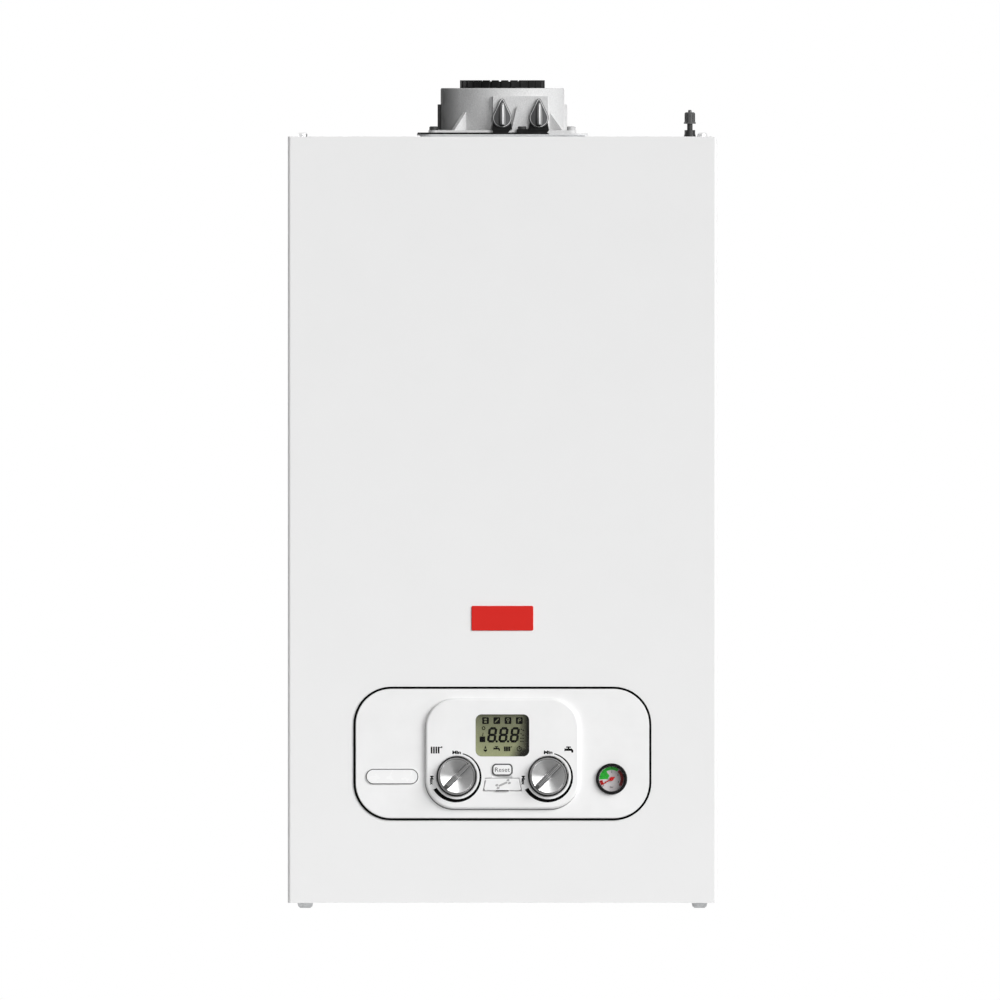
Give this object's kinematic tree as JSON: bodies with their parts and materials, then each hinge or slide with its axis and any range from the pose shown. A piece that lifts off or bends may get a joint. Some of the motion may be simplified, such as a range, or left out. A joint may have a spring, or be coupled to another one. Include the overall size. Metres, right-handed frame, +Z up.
{
  "type": "combi boiler",
  "caption": "Wall-hung condensing combination boiler with a lift-off sheet case, control fascia with turning knobs, pressure gauge, top flue socket and pipe tails.",
  "frame": {"origin": "on the wall plane, midway between the two holes of the wall bracket", "axes": "+X to the right seen from the front, +Y into the wall, -Y out of the front panel, +Z up"},
  "size_m": [0.392, 0.3038, 0.756],
  "materials": {
    "case_white": "satin",
    "fascia_white": "satin",
    "plate_red": "satin",
    "pill_white": "gloss",
    "knob_silver": "spun",
    "button_white": "satin",
    "lens_clear": "polished",
    "display_olive": "satin",
    "black_plastic": "satin",
    "dial_print": "matte",
    "galvanised": "spangled",
    "stainless": "satin",
    "vessel_grey": "satin",
    "cast_alloy": "cast",
    "adaptor_grey": "satin",
    "cap_grey": "satin",
    "seal_black": "matte",
    "gasket_grey": "matte",
    "brass": "turned",
    "copper": "drawn",
    "screw_zinc": "plated",
    "screw_black": "matte",
    "grey_composite": "moulded",
    "board_green": "satin",
    "knob_red": "satin",
    "trap_white": "satin",
    "ceramic": "glazed",
    "pointer_red": "matte"
  },
  "bodies": {
    "root": {"wall_bracket": "galvanised", "rear_frame": "galvanised", "top_plate": "galvanised", "bottom_tray": "galvanised", "expansion_vessel": "vessel_grey", "vessel_pipe": "copper", "valve_stem": "screw_zinc", "air_box": "galvanised", "air_box_door": "galvanised", "heat_exchanger": "stainless", "burner_door": "cast_alloy", "burner": "stainless", "electrodes": "ceramic", "fan_housing": "cast_alloy", "fan_motor": "black_plastic", "venturi": "cast_alloy", "gas_valve": "cast_alloy", "mixture_duct": "grey_composite", "flue_duct": "trap_white", "flue_gasket": "gasket_grey", "flue_adaptor": "adaptor_grey", "flue_seal": "seal_black", "flue_screws": "screw_black", "pan_screws": "screw_zinc", "case_screws": "screw_zinc", "pump_body": "grey_composite", "pump_motor": "vessel_grey", "return_block": "grey_composite", "flow_block": "grey_composite", "diverter_motor": "button_white", "plate_heat_exchanger": "stainless", "air_vent": "black_plastic", "condensate_trap": "trap_white", "flow_pipe": "copper", "return_pipe": "copper", "gas_pipe": "copper", "tails_22mm": "brass", "tails_15mm": "brass", "control_box": "grey_composite", "fascia": "fascia_white", "fascia_moulding": "fascia_white", "display_lens": "lens_clear", "display_module": "display_olive", "circuit_board": "board_green", "gauge_case": "black_plastic", "gauge_dial": "dial_print", "gauge_lens": "lens_clear", "pill_badge": "pill_white"},
    "outer_case": {"outer_case": "case_white", "badge_plate": "plate_red"},
    "heating_knob": {"heating_knob": "knob_silver"},
    "water_knob": {"water_knob": "knob_silver"},
    "reset_button": {"reset_button": "button_white"},
    "service_flap": {"service_flap": "button_white"},
    "gauge_pointer": {"gauge_pointer": "pointer_red"},
    "sampling_cap_left": {"sampling_cap_left": "cap_grey"},
    "sampling_cap_right": {"sampling_cap_right": "cap_grey"},
    "valve_cap": {"valve_cap": "black_plastic"},
    "fan_impeller": {"fan_impeller": "stainless"},
    "relief_knob": {"relief_knob": "knob_red"}
  },
  "joints": [
    {"name": "outer_case_off", "type": "slide", "parent": "root", "child": "outer_case", "axis": [0, -1, 0], "range_m": [0, 0.33]},
    {"name": "heating_knob_turn", "type": "hinge", "parent": "root", "child": "heating_knob", "pos_m": [-0.0418, -0.292, -0.5244], "axis": [0, 1, 0], "range_deg": [-210, 15]},
    {"name": "water_knob_turn", "type": "hinge", "parent": "root", "child": "water_knob", "pos_m": [0.0418, -0.292, -0.5244], "axis": [0, 1, 0], "range_deg": [-210, 15]},
    {"name": "reset_press", "type": "slide", "parent": "root", "child": "reset_button", "axis": [0, 1, 0], "range_m": [0, 0.0015], "stiffness_N_per_m": 400},
    {"name": "service_flap_open", "type": "hinge", "parent": "root", "child": "service_flap", "pos_m": [0, -0.2893, -0.5274], "axis": [-1, 0, 0], "range_deg": [0, 90]},
    {"name": "gauge_pointer_turn", "type": "hinge", "parent": "root", "child": "gauge_pointer", "pos_m": [0.0998, -0.284, -0.5267], "axis": [0, 1, 0], "range_deg": [-8, 250]},
    {"name": "sampling_cap_left_off", "type": "slide", "parent": "root", "child": "sampling_cap_left", "axis": [0, -1, 0], "range_m": [0, 0.022]},
    {"name": "sampling_cap_right_off", "type": "slide", "parent": "root", "child": "sampling_cap_right", "axis": [0, -1, 0], "range_m": [0, 0.022]},
    {"name": "valve_cap_off", "type": "slide", "parent": "root", "child": "valve_cap", "axis": [0, 0, 1], "range_m": [0, 0.014]},
    {"name": "fan_spin", "type": "hinge", "parent": "root", "child": "fan_impeller", "pos_m": [0.105, -0.2, -0.13], "axis": [0, 1, 0], "continuous": true},
    {"name": "relief_knob_turn", "type": "hinge", "parent": "root", "child": "relief_knob", "pos_m": [0.09, -0.185, -0.54], "axis": [0, 1, 0], "range_deg": [0, 90]}
  ]
}
